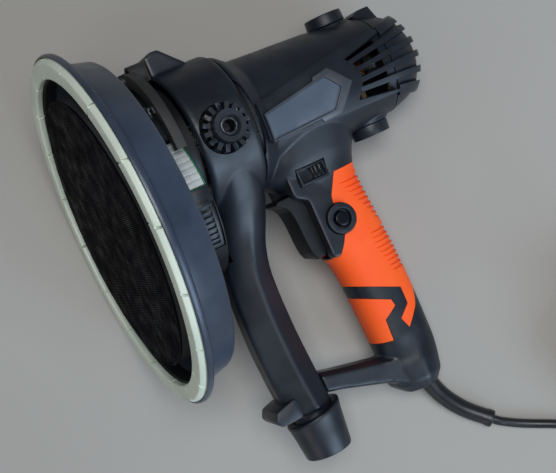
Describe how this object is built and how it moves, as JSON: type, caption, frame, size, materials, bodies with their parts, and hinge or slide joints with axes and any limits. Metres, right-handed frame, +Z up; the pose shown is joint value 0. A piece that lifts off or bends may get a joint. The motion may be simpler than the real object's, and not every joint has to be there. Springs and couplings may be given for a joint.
{
  "type": "drywall sander",
  "caption": "Hand-held corded drywall sander with a round dust shroud, geared head, suction duct, D-handle with trigger, and side bosses for an auxiliary handle.",
  "frame": {"origin": "middle of the tool's footprint box, without its lead, on the surface that it lies on", "axes": "+Z up, away from that surface; the sanding face looks towards -X and down, the suction duct and the handle's end point towards -Y, the motor's rear points towards +X"},
  "size_m": [0.3477, 0.3883, 0.2123],
  "materials": {
    "charcoal_plastic": "moulded, fine texture, slight sheen",
    "dark_soft_plastic": "satin black rubber",
    "orange_grip": "matte soft-touch orange",
    "pale_rubber": "pale green-white, matt",
    "hook_face": "black hook-and-loop hooks",
    "foam": "dark closed-cell foam",
    "steel": "ground steel",
    "dark_steel": "oiled dark steel",
    "cast_aluminium": "as cast",
    "copper": "enamelled copper wire",
    "brass": "stamped brass",
    "circuit_board": "green laminate",
    "light_cover": "frosted, translucent",
    "carbon": "pressed carbon"
  },
  "bodies": {
    "housing": {"nose_housing": "charcoal_plastic", "led_board": "circuit_board", "led_cover_left": "light_cover", "led_cover_right": "light_cover", "side_vent_left": "charcoal_plastic", "side_vent_right": "charcoal_plastic", "shroud_bracket": "charcoal_plastic", "shroud_spring_left": "steel", "shroud_spring_right": "steel", "head_shell_left": "charcoal_plastic", "head_shell_right": "charcoal_plastic", "gear_cover": "cast_aluminium", "side_boss_left": "charcoal_plastic", "side_boss_right": "charcoal_plastic", "handle_insert_left": "steel", "handle_insert_right": "steel", "motor_housing_left": "charcoal_plastic", "motor_housing_right": "charcoal_plastic", "grip_left": "orange_grip", "grip_right": "orange_grip", "rear_cover": "charcoal_plastic", "motor_front_bearing": "steel", "motor_rear_bearing": "steel", "stator_core": "dark_steel", "field_coil_top": "copper", "field_coil_bottom": "copper", "carbon_brush_top": "carbon", "carbon_brush_bottom": "carbon", "brush_holder_top": "brass", "brush_holder_bottom": "brass", "brush_cap_top": "charcoal_plastic", "brush_cap_bottom": "charcoal_plastic", "trigger_switch": "charcoal_plastic", "led_driver_board": "circuit_board", "button_collar": "charcoal_plastic", "light_switch_frame": "charcoal_plastic", "spindle_front_bearing": "steel", "spindle_rear_bearing": "steel", "strain_relief": "dark_soft_plastic", "cord": "dark_soft_plastic", "cord_coil": "dark_soft_plastic", "plug": "dark_soft_plastic"},
    "rotating_pad": {"spindle": "steel", "spindle_gear": "dark_steel", "backing_plate": "charcoal_plastic", "foam_pad": "foam", "hook_pad": "hook_face", "pad_screw": "steel"},
    "rotor": {"rotor_shaft": "steel", "rotor_core": "dark_steel", "rotor_winding": "copper", "commutator": "copper", "cooling_fan": "charcoal_plastic", "pinion": "steel"},
    "dust_shroud": {"shroud": "charcoal_plastic", "skirt_ring": "pale_rubber"},
    "trigger": {"trigger": "charcoal_plastic"},
    "lock_button": {"lock_button": "charcoal_plastic"},
    "light_switch": {"light_switch_knob": "charcoal_plastic"},
    "hose_collar": {"hose_collar": "charcoal_plastic"}
  },
  "joints": [
    {"name": "pad_spin", "type": "hinge", "parent": "housing", "child": "rotating_pad", "pos_m": [-0.09079, 0.03388, 0.10829], "axis": [0.9209, 0, -0.3898], "continuous": true},
    {"name": "rotor_spin", "type": "hinge", "parent": "housing", "child": "rotor", "pos_m": [-0.08816, 0.06517, 0.1145], "axis": [0.9209, 0, -0.3898], "continuous": true},
    {"name": "shroud_float", "type": "slide", "parent": "housing", "child": "dust_shroud", "axis": [0.9209, 0, -0.3898], "range_m": [0, 0.004], "stiffness_N_per_m": 3000, "springref_m": -0.005, "deforming": ["shroud_spring_left", "shroud_spring_right"]},
    {"name": "trigger_pull", "type": "hinge", "parent": "housing", "child": "trigger", "pos_m": [0.02019, 0.00651, 0.05492], "axis": [0.3811, -0.2105, 0.9003], "range_deg": [0, 6], "stiffness_Nm_per_rad": 0.4, "springref_deg": -11.46},
    {"name": "lock_button_press", "type": "slide", "parent": "housing", "child": "lock_button", "axis": [-0.3811, 0.2105, -0.9003], "range_m": [0, 0.003], "stiffness_N_per_m": 400, "springref_m": -0.003},
    {"name": "light_switch_slide", "type": "slide", "parent": "housing", "child": "light_switch", "axis": [-0.9209, 0, 0.3898], "range_m": [0, 0.007]},
    {"name": "hose_collar_turn", "type": "hinge", "parent": "housing", "child": "hose_collar", "pos_m": [-0.03715, -0.12253, 0.04902], "axis": [0.082, 0.9776, 0.1938], "range_deg": [0, 20]}
  ],
  "couplings": [
    {"joint": "rotor_spin", "follows": "pad_spin", "ratio": -6.1111}
  ]
}
